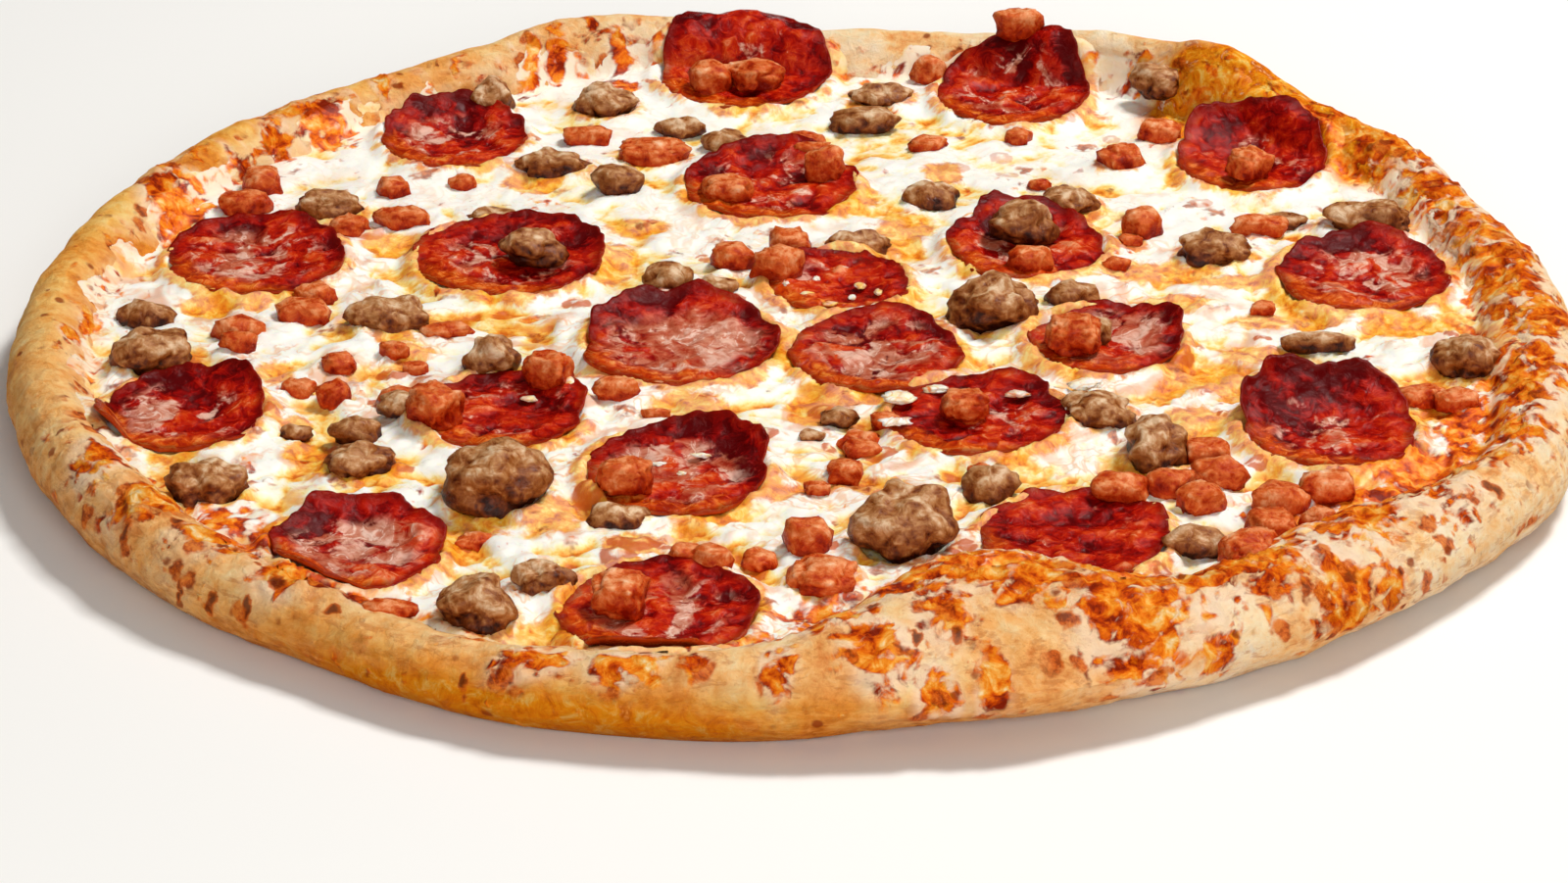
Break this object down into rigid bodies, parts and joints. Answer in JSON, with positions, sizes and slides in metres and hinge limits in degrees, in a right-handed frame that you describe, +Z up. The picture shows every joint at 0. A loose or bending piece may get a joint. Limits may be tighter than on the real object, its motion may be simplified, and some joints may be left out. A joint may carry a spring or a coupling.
{
  "type": "pizza",
  "caption": "Whole round pizza with a raised, uneven browned crust, melted cheese, cupped pepperoni slices, sausage lumps and diced ham.",
  "frame": {"origin": "centre of the flat underside of the crust, at the middle of the bounding box", "axes": "+Z up through the pizza's thickness; -Y towards the edge that is nearest in the picture; +X to the right"},
  "size_m": [0.352, 0.3512, 0.0291],
  "materials": {
    "dough": "baked, dry, lightly floured",
    "cheese": "melted, greasy, browned in spots",
    "pepperoni": "oily, darker at the curled edge",
    "sausage": "knobbly, cooked through",
    "ham": "moist, browned at the corners"
  },
  "bodies": {
    "root": {"cheese": "cheese", "crust": "dough", "ham_01": "ham", "ham_02": "ham", "ham_03": "ham", "ham_04": "ham", "ham_05": "ham", "ham_06": "ham", "ham_07": "ham", "ham_08": "ham", "ham_09": "ham", "ham_10": "ham", "ham_11": "ham", "ham_12": "ham", "pepperoni_01": "pepperoni", "pepperoni_02": "pepperoni", "pepperoni_03": "pepperoni", "pepperoni_04": "pepperoni", "pepperoni_05": "pepperoni", "pepperoni_06": "pepperoni", "pepperoni_07": "pepperoni", "pepperoni_08": "pepperoni", "pepperoni_09": "pepperoni", "pepperoni_10": "pepperoni", "pepperoni_11": "pepperoni", "pepperoni_12": "pepperoni", "pepperoni_13": "pepperoni", "pepperoni_14": "pepperoni", "pepperoni_15": "pepperoni", "pepperoni_16": "pepperoni", "pepperoni_17": "pepperoni", "pepperoni_18": "pepperoni", "pepperoni_19": "pepperoni", "pepperoni_20": "pepperoni", "pepperoni_21": "pepperoni", "sausage_01": "sausage", "sausage_02": "sausage", "sausage_03": "sausage", "sausage_04": "sausage", "sausage_05": "sausage", "sausage_06": "sausage", "sausage_07": "sausage", "sausage_08": "sausage", "sausage_09": "sausage", "sausage_10": "sausage", "sausage_11": "sausage", "sausage_12": "sausage", "sausage_13": "sausage", "sausage_14": "sausage", "sausage_15": "sausage", "sausage_16": "sausage", "sausage_17": "sausage", "sausage_18": "sausage", "sausage_19": "sausage", "sausage_20": "sausage", "sausage_21": "sausage", "sausage_22": "sausage", "sausage_23": "sausage", "sausage_24": "sausage", "sausage_25": "sausage"}
  },
  "joints": []
}
